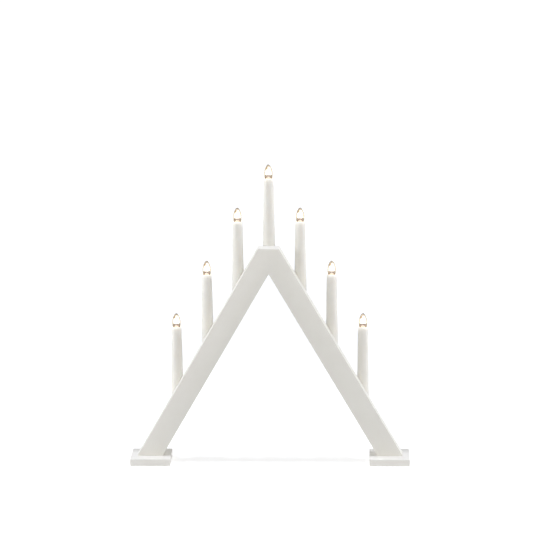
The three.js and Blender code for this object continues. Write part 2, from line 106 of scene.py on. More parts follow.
# Bulbs, measured from the tip of the contact; the painted brown reflection's turn is a share of a full turn
# from +X
BROWN_REFLECTION_TURN = 0.6
BULB_PROFILE = [(0.66, 0), (0.93, 0.18), (1, 0.44), (0.93, 0.62), (0.74, 0.77), (0.49, 0.9),
                (0.27, 0.965), (0, 1)]
BULB_RADIUS = 6.7 * MM
GLASS_WALL = 0.55 * MM
NECK_RADIUS = 4.1 * MM
CAP_RADIUS = 4.8 * MM
CAP_WALL = 0.4 * MM
CAP_HEIGHT = 13.8 * MM
CAP_COLLAR = 0.5 * MM
CAP_COLLAR_RISE = 1 * MM
CONTACT_RADIUS = 1.9 * MM
CONTACT_HEIGHT = 2.4 * MM
CAP_FLOOR = CONTACT_HEIGHT - 1.2 * MM
THREAD_RISE = 1.81 * MM
THREAD_TURNS = 4.5
THREAD_RIDGE = 0.42 * MM
GLASS_TIP = 0.9 * MM
FLARE_RADIUS = 5.85 * MM
FLARE_WALL = 0.9 * MM
FLARE_RISE = 25.2 * MM
GLOW_LOW = 25.4 * MM
GLOW_BELOW_TIP = 4 * MM
GLOW_SHARE = 0.7
LEAD_RADIUS = 0.42 * MM
FILAMENT_HALF_SPAN = 2.6 * MM
FILAMENT_HEIGHT = 27 * MM

# Cord inlet
INLET_CORNER = 3 * MM
INLET_EDGE = 0.9 * MM
INLET_WALL = 1.8 * MM
INLET_MOUTH = 3.4 * MM
INLET_BOSS_INSET = 4 * MM
INLET_BOSS_RADIUS = 2.6 * MM
INLET_SCREW_HOLE = 1.1 * MM
INLET_SCREW_HEAD = 2.2 * MM
INLET_SCREW_SINK = 1.2 * MM

# Finishes: the darker and the lighter colour of each; the feet's paint is the arms' white made lighter, as
# painted light
ARM_COLOURS = (0.795, 0.775, 0.72), (0.815, 0.8, 0.745)
FOOT_COLOURS_PAINTED_LIGHTER = (0.83, 0.81, 0.76), (0.85, 0.835, 0.785)
SLEEVE_COLOURS = (0.825, 0.81, 0.76), (0.85, 0.835, 0.785)

# Painted light of the sleeve by height, for the lit bulb shining through its top: up the outside to one
# half, then down the inside
SLEEVE_PAINTED_GLOW = [
    (0.425, (0, 0, 0)), (0.444, (0.015, 0.015, 0.015)), (0.466, (0.06, 0.06, 0.058)),
    (0.475, (0.12, 0.11, 0.105)), (0.499, (0.38, 0.34, 0.29)), (0.501, (1.08, 1.08, 1.06)),
    (0.55, (1.0, 0.98, 0.94)),
]

# Light levels: the world's soft light on every side, and what comes more from some directions;
# each of the floor's lifts goes from its near value to its far value between two distances;
# the second is painted light near the object, which makes the object's shadow on the floor faint
WORLD_LIGHT = 0.05
WORLD_SIDES = [
    ((-0.975, -0.2, 0.12), 3.8), ((0.98, -0.12, 0.12), 3.4), ((0, 0.95, 0.3), 0.3),
]
WORLD_NARROWING = 8
FLOOR_RADIUS = 14
FLOOR_COLOUR = (0.74, 0.74, 0.74)
FLOOR_LIFTS_AND_PAINTED_LIGHT = [((-4, 6), (0, 0.76)), ((0.2, 0.8), (0.34, 0))]
SOFTBOXES = [
    ("left softbox", (-2.0, -0.35, 0.9), 1.3, 5, (0.94, 0.97, 1.0)),
    ("right softbox", (2.0, 0.1, 0.9), 1.3, 4, (1.0, 0.98, 0.95)),
    ("top left softbox", (-1.6, 0, 4.6), 0.4, 76, (0.86, 0.89, 1.0)),
    ("top right softbox", (1.6, 0, 4.6), 0.4, 76, (0.86, 0.89, 1.0)),
    ("front fill", (0.2, -3.5, 0.6), 1.1, 18.7, (1.0, 0.96, 0.86)),
]

# Places read from the frame
arm_low, arm_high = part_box("arm_right")
foot_low, foot_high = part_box("foot_right")
inlet_low, inlet_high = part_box("cord_inlet")
ARM_REACH = arm_high.x
ARM_RISE = math.tan(ARM_SLOPE)
ARM_CUT = ARM_WIDTH / math.sin(ARM_SLOPE)
APEX_HALF_WIDTH = ARM_REACH - (arm_high.z - arm_low.z) / ARM_RISE
INLET_X = ARM_REACH - KERF_END_RISE / ARM_RISE - ARM_CUT / 2


def candle_places():
    places = []
    for number in range(1, CANDLE_COUNT + 1):
        low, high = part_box(f"candle_sleeve_{number}")
        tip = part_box(f"bulb_contact_{number}")[0].z
        middle = (low + high) / 2
        places.append({
            "number": number, "x": middle.x, "y": middle.y, "low": low.z, "high": high.z,
            "radius": (high.x - low.x) / 2, "seat": low.z - FLANGE_THICKNESS, "contact": tip,
        })
    return places


candles = candle_places()
BULB_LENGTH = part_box("bulb_glass_1")[1].z - candles[0]["contact"]
SLEEVE_LENGTH = candles[0]["high"] - candles[0]["low"]
SLEEVE_RADIUS = candles[0]["radius"]
CONTACT_BELOW_TOP = candles[0]["high"] - candles[0]["contact"]


def kerf_height(x):
    return arm_low.z + (ARM_REACH - abs(x)) * ARM_RISE - ARM_WIDTH


# Meshes
def plain(shape):
    mesh = bpy.data.meshes.new("mesh")
    shape.to_mesh(mesh)
    shape.free()
    return mesh


def to_mesh(shape):
    """Turns a bmesh into a mesh with smooth faces between its sharp edges"""
    bmesh.ops.recalc_face_normals(shape, faces=shape.faces)
    return smoothed(plain(shape))


def smoothed(mesh, sharp=32):
    mesh.polygons.foreach_set("use_smooth", [True] * len(mesh.polygons))
    mesh.set_sharp_from_angle(angle=math.radians(sharp))
    return mesh


def spun(profile, sides=TURNED_SIDES, closed=True, lip=None):
    """Turns a profile of (radius, height) about Z; its UV map holds the turn and the height share.
    After the point numbered lip, the height share goes on past 1 down the inside"""
    shape = bmesh.new()
    rings = []
    for radius, height in profile:
        count = sides if radius > 0 else 1
        turns = [2 * math.pi * i / sides for i in range(count)]
        rings.append([shape.verts.new((radius * math.cos(t), radius * math.sin(t), height)) for t in turns])
    layer = shape.loops.layers.uv.new("surface")
    low = min(height for _, height in profile)
    span = max(height for _, height in profile) - low
    shares = [(height - low) / span for _, height in profile]
    if lip is not None:
        shares[lip:] = [2 - share for share in shares[lip:]]
    numbers = range(len(rings) if closed else len(rings) - 1)
    for number in numbers:
        ring, after = rings[number], rings[(number + 1) % len(rings)]
        ends = shares[number], shares[(number + 1) % len(rings)]
        if len(ring) == 1 and len(after) == 1:
            continue
        for i in range(sides):
            j = (i + 1) % sides
            loop = [ring[i % len(ring)], ring[j % len(ring)], after[j % len(after)], after[i % len(after)]]
            face = shape.faces.new(list(dict.fromkeys(loop)))
            for corner in face.loops:
                column = i if corner.vert in (ring[i % len(ring)], after[i % len(after)]) else i + 1
                corner[layer].uv = (column / sides, ends[0] if corner.vert in ring else ends[1])
    return to_mesh(shape)


def oblong(low_x, low_z, high_x, high_z):
    return [(low_x, low_z), (high_x, low_z), (high_x, high_z), (low_x, high_z)]


def slab(outline, front, back):
    """A plate whose outline is drawn in x and z"""
    shape = bmesh.new()
    face = shape.faces.new([shape.verts.new((x, front, z)) for x, z in outline])
    grown = bmesh.ops.extrude_face_region(shape, geom=[face])["geom"]
    far = [item for item in grown if isinstance(item, bmesh.types.BMVert)]
    bmesh.ops.translate(shape, vec=(0, back - front, 0), verts=far)
    bmesh.ops.recalc_face_normals(shape, faces=shape.faces)
    return shape


def flat(edge):
    """True for the edges of a slab's front and back"""
    return abs(edge.verts[0].co.y - edge.verts[1].co.y) < NEAR_ZERO


def rounded(shape, radius, wanted=lambda edge: True, steps=EDGE_STEPS):
    edges = [edge for edge in shape.edges if wanted(edge)]
    bmesh.ops.bevel(shape, geom=edges, offset=radius, segments=steps, profile=0.5, affect="EDGES",
                    clamp_overlap=True)
    return shape


def moved(mesh, x=0, y=0, z=0):
    copy = mesh.copy()
    copy.transform(Matrix.Translation((x, y, z)))
    return copy


def turned(mesh, angle, axis):
    mesh.transform(Matrix.Rotation(angle, 4, axis))
    return mesh


def facing_back(mesh):
    """Lays a mesh that was turned about Z along Y, its top towards the back"""
    return turned(mesh, math.radians(-90), "X")


def sided(mesh, side):
    """The right side's mesh, or its mirror image for the left side"""
    if side < 0:
        mesh.transform(Matrix.Scale(-1, 4, (1, 0, 0)))
        mesh.flip_normals()
    return smoothed(mesh)


def arc(middle, radii, start, end, steps):
    """Points on an ellipse from one turn to another, the first and the last with them"""
    turns = [start + (end - start) * i / steps for i in range(steps + 1)]
    return [(middle[0] + radii[0] * math.cos(turn), middle[1] + radii[1] * math.sin(turn)) for turn in turns]


def rod(radius, low, high, sides=48):
    return spun([(0, low), (radius, low), (radius, high), (0, high)], sides, closed=False)


def countersink(hole, head, sink, depth, sides):
    """Cuts a screw hole through a wall of that depth, its head flush with the back"""
    low = -depth - CUT_SPARE
    outline = [(0, low), (hole, low), (hole, -sink), (head, 0), (head, CUT_SPARE), (0, CUT_SPARE)]
    return facing_back(spun(outline, sides, closed=False))


def joined(*meshes):
    shape = bmesh.new()
    for mesh in meshes:
        shape.from_mesh(mesh)
    return smoothed(plain(shape))


def linked(data, name="passing"):
    """An object in the scene; a passing one carries modifiers and is removed"""
    made = bpy.data.objects.new(name, data)
    bpy.context.scene.collection.objects.link(made)
    return made


def baked(carrier):
    bpy.context.view_layer.update()
    graph = bpy.context.evaluated_depsgraph_get()
    mesh = bpy.data.meshes.new_from_object(carrier.evaluated_get(graph), depsgraph=graph)
    bpy.data.objects.remove(carrier)
    return mesh


def carved(mesh, cutters):
    """Cuts each cutter out of the mesh"""
    carrier = linked(mesh)
    tools = [linked(cutter) for cutter in cutters]
    for tool in tools:
        cut = carrier.modifiers.new("cut", "BOOLEAN")
        cut.operation = "DIFFERENCE"
        cut.solver = "EXACT"
        cut.object = tool
    result = baked(carrier)
    for tool in tools:
        bpy.data.objects.remove(tool)
    return smoothed(result)


def piece(name, mesh, material, body, slot, *nodes):
    """A finished piece that rides on its body and stands for the nodes it is named with"""
    mesh.name = name
    mesh.materials.clear()
    mesh.materials.append(material)
    made = linked(mesh, name)
    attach(made, body)
    if nodes:
        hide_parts(*nodes)


# Node trees
VECTOR_MATH = "ShaderNodeVectorMath"


class Nodes:
    """A tree whose nodes are made and fed in one call; an input is named, or numbered by a digit"""

    def __init__(self, tree):
        self.tree = tree

    def feed(self, made, label, value):
        socket = made.inputs[int(label)] if label.isdigit() else made.inputs[label]
        if isinstance(value, bpy.types.NodeSocket):
            self.tree.links.new(value, socket)
        else:
            socket.default_value = value

    def make(self, kind, settings=None, **inputs):
        made = self.tree.nodes.new(kind)
        for label, value in (settings or {}).items():
            setattr(made, label, value)
        for label, value in inputs.items():
            self.feed(made, label.replace("_", " "), value)
        return made

    def node(self, kind, settings=None, **inputs):
        return self.make(kind, settings, **inputs).outputs

    def math(self, operation, first, second=0.0, kind="ShaderNodeMath"):
        made = self.make(kind, {"operation": operation})
        self.feed(made, "0", first)
        self.feed(made, "1", second)
        return made.outputs["Value"]

    def spread(self, value, low, high, start=0.3, end=0.7):
        """Eases from low to high while the value goes from start to end"""
        return self.node("ShaderNodeMapRange", {"interpolation_type": "SMOOTHSTEP"}, Value=value,
                         From_Min=start, From_Max=end, To_Min=low, To_Max=high)[0]


class Growth(Nodes):
    """A geometry node tree with named inputs, the last its finish; its result is baked to a plain mesh"""

    def __init__(self, name, inputs):
        super().__init__(bpy.data.node_groups.new(name, "GeometryNodeTree"))
        for label, kind in {"Geometry": "Geometry", **inputs, "Finish": "Material"}.items():
            self.tree.interface.new_socket(label, in_out="INPUT", socket_type=f"NodeSocket{kind}")
        self.tree.interface.new_socket("Geometry", in_out="OUTPUT", socket_type="NodeSocketGeometry")
        self.given = self.node("NodeGroupInput")

    def finish(self, geometry):
        """Ends the tree with realised geometry in its material"""
        solid = self.node("GeometryNodeRealizeInstances", Geometry=geometry)
        dressed = self.node("GeometryNodeSetMaterial", Geometry=solid[0], Material=self.given["Finish"])
        self.make("NodeGroupOutput", Geometry=dressed[0])
        return self

    def spiral(self, resolution, radius, height):
        return self.node("GeometryNodeCurveSpiral", Resolution=resolution, Rotations=self.given["Turns"],
                         Start_Radius=radius, End_Radius=radius, Height=height)[0]

    def tube(self, path, sides, radius):
        section = self.node("GeometryNodeCurvePrimitiveCircle", Resolution=sides, Radius=radius)[0]
        return self.node("GeometryNodeCurveToMesh", Curve=path, Profile_Curve=section, Fill_Caps=True)[0]

    def bake(self, mesh, values):
        carrier = linked(mesh)
        grown = carrier.modifiers.new("grown", "NODES")
        grown.node_group = self.tree
        for item in self.tree.interface.items_tree:
            if item.in_out == "INPUT" and item.name in values:
                grown[item.identifier] = values[item.name]
        return baked(carrier)


def candle_row():
    """Sets a copy of the mesh on each candle's seat: even steps down both arms, one on the apex"""
    row = Growth("candle row", {
        "Count": "Int", "Pitch": "Float", "Slope": "Float", "Depth": "Float", "Arm seat": "Float",
        "Apex seat": "Float",
    })
    given = row.given
    half = row.math("DIVIDE", row.math("SUBTRACT", given["Count"], 1.0), 2.0)
    step = row.math("SUBTRACT", row.node("GeometryNodeInputIndex")[0], half)
    x = row.math("MULTIPLY", step, given["Pitch"])
    fall = row.math("MULTIPLY", row.math("ABSOLUTE", x), row.math("TANGENT", given["Slope"]))
    on_arm = row.math("SUBTRACT", given["Arm seat"], fall)
    at_apex = row.math("LESS_THAN", row.math("ABSOLUTE", step), 0.5)
    lift = row.math("MULTIPLY", at_apex, row.math("SUBTRACT", given["Apex seat"], given["Arm seat"]))
    z = row.math("ADD", on_arm, lift)
    place = row.node("ShaderNodeCombineXYZ", X=x, Y=given["Depth"], Z=z)
    points = row.node("GeometryNodePoints", Count=given["Count"], Position=place[0])
    copies = row.node("GeometryNodeInstanceOnPoints", Points=points[0], Instance=given["Geometry"])
    return row.finish(copies[0])


def set_screws():
    """Sets a screw on each vertex of the mesh"""
    screws = Growth("set screws", {"Screw": "Object", "Turn": "Vector"})
    given = screws.given
    points = screws.node("GeometryNodeMeshToPoints", Mesh=given["Geometry"])
    screw = screws.node("GeometryNodeObjectInfo", Object=given["Screw"])
    copies = screws.node("GeometryNodeInstanceOnPoints", Points=points[0], Instance=screw["Geometry"],
                         Rotation=given["Turn"])
    return screws.finish(copies[0])


def rolled_thread():
    """Lays a rounded ridge round the mesh, rising by one pitch a turn"""
    thread = Growth("rolled thread", {
        "Turns": "Float", "Radius": "Float", "Rise": "Float", "Ridge": "Float", "Start": "Float",
    })
    given = thread.given
    height = thread.math("MULTIPLY", given["Turns"], given["Rise"])
    ridge = thread.tube(thread.spiral(48, given["Radius"], height), 10, given["Ridge"])
    lift = thread.node("ShaderNodeCombineXYZ", Z=given["Start"])
    raised = thread.node("GeometryNodeTransform", Geometry=ridge, Translation=lift[0])
    smooth = thread.node("GeometryNodeSetShadeSmooth", Geometry=raised[0])
    both = thread.make("GeometryNodeJoinGeometry", Geometry=given["Geometry"])
    thread.feed(both, "Geometry", smooth[0])
    return thread.finish(both.outputs[0])


def coiled_wire():
    """A fine coil along X, bowed down in the middle"""
    coil = Growth("coiled wire", {
        "Turns": "Float", "Half span": "Float", "Bow": "Float", "Coil radius": "Float",
        "Wire radius": "Float", "Height": "Float",
    })
    given = coil.given
    span = coil.math("MULTIPLY", given["Half span"], 2.0)
    spiral = coil.spiral(14, given["Coil radius"], span)
    axes = coil.node("ShaderNodeSeparateXYZ", Vector=coil.node("GeometryNodeInputPosition")[0])
    along = coil.math("SUBTRACT", axes["Z"], given["Half span"])
    share = coil.math("DIVIDE", along, given["Half span"])
    sag = coil.math("SUBTRACT", 1.0, coil.math("MULTIPLY", share, share))
    sag = coil.math("MULTIPLY", given["Bow"], sag)
    z = coil.math("ADD", coil.math("SUBTRACT", axes["X"], sag), given["Height"])
    place = coil.node("ShaderNodeCombineXYZ", X=along, Y=axes["Y"], Z=z)
    laid = coil.node("GeometryNodeSetPosition", Geometry=spiral, Position=place[0])
    wire = coil.tube(laid[0], 6, given["Wire radius"])
    return coil.finish(coil.node("GeometryNodeSetShadeSmooth", Geometry=wire)[0])


# Materials
class Finish(Nodes):
    """A procedural material: a Principled shader fed by patterns on Object coordinates"""

    def __init__(self, name, **sockets):
        self.material = bpy.data.materials.new(name)
        self.material.use_nodes = True
        super().__init__(self.material.node_tree)
        self.shader = self.tree.nodes["Principled BSDF"]
        for label, value in sockets.items():
            self.set(label.replace("_", " "), value)

    def set(self, label, value):
        self.feed(self.shader, label, value)

    def noise(self, scale, detail, stretch=(1, 1, 1), turn=0.0):
        """Noise in Object coordinates, stretched along axes that turn about Y"""
        place = self.node("ShaderNodeTexCoord")["Object"]
        laid = self.node("ShaderNodeMapping", Vector=place, Rotation=(0, turn, 0), Scale=stretch)[0]
        return self.node("ShaderNodeTexNoise", Vector=laid, Scale=scale, Detail=detail)[0]

    def surface(self):
        """How far round and how far up a turned piece, from its own UV map"""
        place = self.node("ShaderNodeUVMap", {"uv_map": "surface"})[0]
        return self.node("ShaderNodeSeparateXYZ", Vector=place)

    def ramp(self, value, *stops):
        made = self.make("ShaderNodeValToRGB", Fac=value)
        band = made.color_ramp
        while len(band.elements) < len(stops):
            band.elements.new(0.5)
        for element, (position, colour) in zip(band.elements, stops):
            element.position = position
            element.color = (*colour, 1)
        return made.outputs[0]

    def colour(self, pattern, dark, light, start=0.3, end=0.7):
        self.set("Base Color", self.ramp(pattern, (start, dark), (end, light)))

    def mix(self, share, colour, other):
        """The colour that goes over to the other one by the share"""
        return self.node("ShaderNodeMixRGB", Fac=share, Color1=colour, Color2=(*other, 1))[0]

    def bump(self, height, distance, strength, under=None):
        made = self.make("ShaderNodeBump", Height=height, Distance=distance, Strength=strength)
        if under is not None:
            self.feed(made, "Normal", under)
        return made.outputs[0]


def painted_wood(name, turn, dark, light):
    """Sprayed and brushed white lacquer over fine-grained wood, with the grain along the piece"""
    paint = Finish(name, Coat_Weight=0.12, Coat_Roughness=0.25)
    patches = paint.noise(38, 4)
    grain = paint.noise(160, 6, stretch=(0.12, 1, 1), turn=turn)
    pores = paint.noise(900, 3, stretch=(0.08, 1, 1), turn=turn)
    peel = paint.noise(1500, 2)
    paint.colour(patches, dark, light, end=0.72)
    paint.set("Roughness", paint.spread(grain, 0.38, 0.52))
    under = paint.bump(grain, 0.00025, 0.35)
    under = paint.bump(pores, 0.00008, 0.3, under)
    paint.set("Normal", paint.bump(peel, 0.00004, 0.35, under))
    return paint.material


def sleeve_plastic():
    """Milky moulded plastic, with the lit bulb's light near its top painted on as emission"""
    plastic = Finish(
        "milky sleeve", Subsurface_Weight=0.12, Subsurface_Radius=(0.004, 0.0034, 0.0027),
        Subsurface_Scale=1.0, IOR=1.49, Specular_IOR_Level=0.3,
    )
    cloud = plastic.noise(90, 3)
    drag = plastic.noise(420, 4, stretch=(1, 1, 0.04))
    grain = plastic.noise(2600, 2)
    plastic.colour(cloud, *SLEEVE_COLOURS)
    plastic.set("Roughness", plastic.spread(drag, 0.34, 0.48))
    under = plastic.bump(drag, 0.00006, 0.4)
    plastic.set("Normal", plastic.bump(grain, 0.00002, 0.4, under))
    # Painted light: emission near the top and down the inside stands in for the bulb's light through the
    # plastic
    halved = plastic.spread(plastic.surface()["Y"], 0, 1, 0, 2)
    plastic.set("Emission Color", plastic.ramp(halved, *SLEEVE_PAINTED_GLOW))
    plastic.set("Emission Strength", 1.0)
    return plastic.material


def moulded_plastic(name, light, dark, texture=1700):
    plastic = Finish(name, IOR=1.5, Subsurface_Weight=0.05, Subsurface_Radius=(0.002, 0.0015, 0.001))
    cloud = plastic.noise(140, 3)
    grain = plastic.noise(texture, 3)
    plastic.colour(cloud, dark, light)
    plastic.set("Roughness", plastic.spread(grain, 0.36, 0.52))
    plastic.set("Normal", plastic.bump(grain, 0.00004, 0.5))
    return plastic.material


def clear_glass(name, colour, rim, edge, tint, density, bending):
    """Clear glass that goes over to its rim colour where it is seen edge-on, between two shares
    of facing away, and takes the tint where the light's way through it is long. The rim colour is
    painted light and shade, standing in for what the glass bends towards the eye edge-on"""
    glass = Finish(name, Transmission_Weight=1.0, Roughness=0.01, IOR=bending)
    ripple = glass.noise(240, 2)
    streaks = tuple(0.985 * part for part in colour)
    clear = glass.ramp(ripple, (0.3, streaks), (0.7, colour))
    away = glass.node("ShaderNodeLayerWeight", Blend=0.5)["Facing"]
    glass.set("Base Color", glass.mix(glass.spread(away, 0, 1, *edge), clear, rim))
    glass.set("Normal", glass.bump(ripple, 0.00002, 0.25))
    thickness = glass.node("ShaderNodeVolumeAbsorption", Color=(*tint, 1), Density=density)[0]
    glass.feed(glass.tree.nodes["Material Output"], "Volume", thickness)
    return glass


def bulb_glass():
    """The envelope's glass: a painted brown reflection on one side of its tip, and smoky at the pip"""
    # The cream rim is painted light, for the glow's warm light bent by the glass edge-on
    glass = clear_glass("bulb envelope", (1, 0.985, 0.96), (0.85, 0.76, 0.57), (0.2, 0.5),
                        (1.0, 0.92, 0.78), 100, 1.2)
    clear = glass.shader.inputs["Base Color"].links[0].from_socket
    place = glass.surface()
    # Painted reflection: a brown streak on one side of the envelope near its tip
    beside = glass.math("ABSOLUTE", glass.math("SUBTRACT", place["X"], BROWN_REFLECTION_TURN))
    beside = glass.spread(beside, 1, 0, 0.06, 0.18)
    above = glass.spread(place["Y"], 0, 1, 0.73, 0.83)
    brown_reflection = glass.mix(glass.math("MULTIPLY", beside, above), clear, (0.5, 0.38, 0.26))
    smoky = glass.mix(glass.spread(place["Y"], 0, 1, 0.87, 0.93), brown_reflection, (0.74, 0.67, 0.58))
    pip = glass.mix(glass.spread(place["Y"], 0, 1, 0.955, 0.985), smoky, (0.42, 0.38, 0.35))
    glass.set("Base Color", pip)
    return glass


def metal(name, light, dark, low, high, scratch=(1, 1, 1), **sockets):
    made = Finish(name, Metallic=1.0, **sockets)
    cloud = made.noise(420, 4)
    scratches = made.noise(1400, 3, stretch=scratch)
    made.colour(cloud, dark, light, 0.32, 0.68)
    made.set("Roughness", made.spread(scratches, low, high))
    made.set("Normal", made.bump(scratches, 0.00002, 0.4))
    return made.material


def glowing(name, colour, strength, flicker):
    """A lit surface whose brightness wavers a little along it"""
    made = Finish(name, Base_Color=(*colour, 1), Roughness=0.5)
    wave = made.noise(flicker, 2)
    made.set("Emission Color", made.ramp(wave, (0.3, tuple(0.94 * part for part in colour)), (0.7, colour)))
    made.set("Emission Strength", strength)
    return made.material


def beech_wood():
    wood = Finish("beech", Roughness=0.6)
    rings = wood.noise(120, 5, stretch=(0.1, 1, 1))
    flecks = wood.noise(900, 3, stretch=(0.15, 1, 1))
    wood.colour(rings, (0.42, 0.27, 0.14), (0.6, 0.42, 0.25))
    wood.set("Normal", wood.bump(flecks, 0.0001, 0.4))
    return wood.material


arm_paint = {side: painted_wood(f"painted arm {side}", side * ARM_SLOPE, *ARM_COLOURS) for side in (-1, 1)}
# Painted light: the feet take a lighter copy of the arms' white
foot_paint = painted_wood("painted foot", 0, *FOOT_COLOURS_PAINTED_LIGHTER)
milky = sleeve_plastic()
moulded = moulded_plastic("moulded holder", (0.8, 0.78, 0.72), (0.76, 0.735, 0.67))
rubber = moulded_plastic("inlet bush", (0.62, 0.61, 0.58), (0.56, 0.55, 0.52), 2400)
wire_cover = moulded_plastic("wire cover", (0.78, 0.77, 0.73), (0.72, 0.71, 0.67), 3000)
vitrite = moulded_plastic("cap insulator", (0.03, 0.028, 0.03), (0.015, 0.014, 0.016), 1500)
envelope_glass = bulb_glass().material
# The flare's dark rim is painted shade, for the dark sleeve mouth seen through its thick glass edge-on
flare_glass = clear_glass("bulb flare", (0.93, 0.89, 0.84), (0.54, 0.49, 0.44), (0.12, 0.5),
                          (0.8, 0.74, 0.68), 90, 1.1).material
brass = metal("cap brass", (0.72, 0.5, 0.24), (0.56, 0.37, 0.16), 0.18, 0.34)
nickel = metal("zinc steel", (0.62, 0.62, 0.6), (0.5, 0.5, 0.49), 0.22, 0.4, (1, 1, 0.1))
tin = metal("solder", (0.6, 0.6, 0.58), (0.44, 0.44, 0.43), 0.25, 0.5)
copper = metal("lead wire", (0.5, 0.25, 0.15), (0.36, 0.17, 0.1), 0.3, 0.45)
flame = glowing("bulb glow", (1.0, 0.985, 0.95), 1.1, 260)
hot_wire = glowing("hot filament", (1.0, 0.72, 0.36), 6.0, 900)
beech = beech_wood()


# Wooden frame
def arm_mesh(side):
    """A mitred bar with eased long edges, then its flutes, kerf, pockets and holes"""
    foot = arm_low.z
    inner_top = kerf_height(0) - ARM_WIDTH
    outline = [
        (ARM_REACH - ARM_CUT, foot), (ARM_REACH, foot), (APEX_HALF_WIDTH, arm_high.z),
        (0, arm_high.z), (0, inner_top),
    ]
    shape = slab(outline, arm_low.y, arm_high.y)

    def on_mitre(edge):
        return all(abs(vert.co.x) < NEAR_ZERO for vert in edge.verts)

    def along_bar(edge):
        on_foot = all(abs(vert.co.z - foot) < NEAR_ZERO for vert in edge.verts)
        return flat(edge) and not on_foot and not on_mitre(edge)

    rounded(shape, ARM_EDGE, along_bar)
    bar = to_mesh(shape)
    cutters = [kerf_cutter()]
    for place in candles:
        if place["x"] > -NEAR_ZERO:
            cutters += seat_cutters(place)
    cutters += [screw_cutter(x) for x in screw_columns()]
    cutters.append(biscuit_cutter())
    if side < 0:
        cutters.append(pocket_cutter(INLET_X, kerf_height(INLET_X)))
    return sided(carved(bar, cutters), side)


def kerf_cutter():
    """A saw kerf down the arm's centre line, cut from the back"""
    along = Vector((math.cos(ARM_SLOPE), -math.sin(ARM_SLOPE)))
    across = Vector((-along.y, along.x)) * (KERF_WIDTH / 2)
    top = Vector((0, kerf_height(0))) - along * ARM_WIDTH
    low = Vector((INLET_X, kerf_height(INLET_X)))
    corners = [top + across, low + across, low - across, top - across]
    outline = [(corner.x, corner.y) for corner in corners]
    return to_mesh(slab(outline, arm_high.y - KERF_DEPTH, arm_high.y + CUT_SPARE))


def pocket_cutter(x, z):
    return moved(facing_back(rod(POCKET_RADIUS, -KERF_DEPTH, CUT_SPARE)), x, arm_high.y, z)


def seat_cutters(place):
    """The round flute that a sleeve sinks into, and the pocket under its window"""
    flute = rod(place["radius"] + CUT_PLAY, place["seat"] - CUT_PLAY, arm_high.z + ARM_REACH, TURNED_SIDES)
    window = place["seat"] - WINDOW_DROP - WINDOW_HEIGHT / 2
    middle = (window + kerf_height(place["x"])) / 2
    return [moved(flute, place["x"], place["y"]), pocket_cutter(place["x"], middle)]


def screw_columns():
    boxes = [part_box(f"foot_screw_right_{number}") for number in (1, 2)]
    return [(low.x + high.x) / 2 for low, high in boxes]


def screw_cutter(x):
    low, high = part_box("foot_screw_right_1")
    radius = (high.x - low.x) / 2
    wide, narrow = radius + CUT_PLAY, radius / 2 + CUT_PLAY
    top = high.z + CUT_PLAY
    hole = spun([
        (0, -CUT_SPARE), (wide, -CUT_SPARE), (wide, low.z + CUT_PLAY),
        (narrow, low.z + radius / 2 + 2 * CUT_PLAY), (narrow, top), (0, top),
    ], 48, closed=False)
    return moved(hole, x, (low.y + high.y) / 2)


def biscuit_cutter():
    """A lens of two arcs, drawn in x and z"""
    low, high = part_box("mitre_biscuit")
    play = Vector((CUT_PLAY, CUT_PLAY, CUT_PLAY))
    low, high = low - play, high + play
    half = high.x
    height = high.z - low.z
    bow = (half * half + height * height / 4) / height
    spread = math.asin(half / bow)
    middle = (low.z + high.z) / 2
    upper, lower = [
        arc((0, middle - sign * (bow - height / 2)), (bow, bow), sign * math.pi / 2 + spread,
            sign * math.pi / 2 - spread, 12)
        for sign in (1, -1)
    ]
    return to_mesh(slab(upper + lower[1:-1], low.y, high.y))


def foot_mesh(side):
    outline = oblong(foot_low.x, foot_low.z, foot_high.x, foot_high.z)
    shape = rounded(slab(outline, foot_low.y, foot_high.y), FOOT_EDGE)
    return sided(carved(to_mesh(shape), [screw_cutter(x) for x in screw_columns()]), side)


def make_frame():
    for side, word in ((-1, "left"), (1, "right")):
        parts = (("arm", arm_mesh(side), arm_paint[side]), ("foot", foot_mesh(side), foot_paint))
        for part, mesh, paint in parts:
            piece(f"{part}_{word}_lacquered", mesh, paint, STAND, "painted_wood", f"{part}_{word}")


# Sleeves
def sleeve_mesh():
    """A tapered tube with a rolled lip"""
    top, edge = SLEEVE_LENGTH, SLEEVE_LIP
    lip = arc((SLEEVE_TOP_RADIUS - edge, top - edge), (edge, edge), 0, math.pi / 2, 6)
    outside = [(SLEEVE_RADIUS, 0), *lip]
    inside = [(SLEEVE_TOP_RADIUS - SLEEVE_WALL, top), (SLEEVE_RADIUS - SLEEVE_WALL, 0)]
    return spun(outside + inside, lip=len(outside))


def row_values(seat_key, finish):
    apex, first = candles[CANDLE_COUNT // 2:CANDLE_COUNT // 2 + 2]
    pitch = first["x"] - apex["x"]
    return {
        "Count": CANDLE_COUNT, "Pitch": pitch, "Slope": ARM_SLOPE, "Depth": first["y"],
        "Arm seat": first[seat_key] + pitch * ARM_RISE, "Apex seat": apex[seat_key], "Finish": finish,
    }


def make_row(row, seat_key, mesh, material, name, slot, node):
    mesh = row.bake(mesh, row_values(seat_key, material))
    piece(name, mesh, material, STAND, slot, *[f"{node}_{place['number']}" for place in candles])


# Lampholders
def sleeve_bore(height):
    taper = (SLEEVE_RADIUS - SLEEVE_TOP_RADIUS) / SLEEVE_LENGTH
    return SLEEVE_RADIUS - SLEEVE_WALL - taper * height


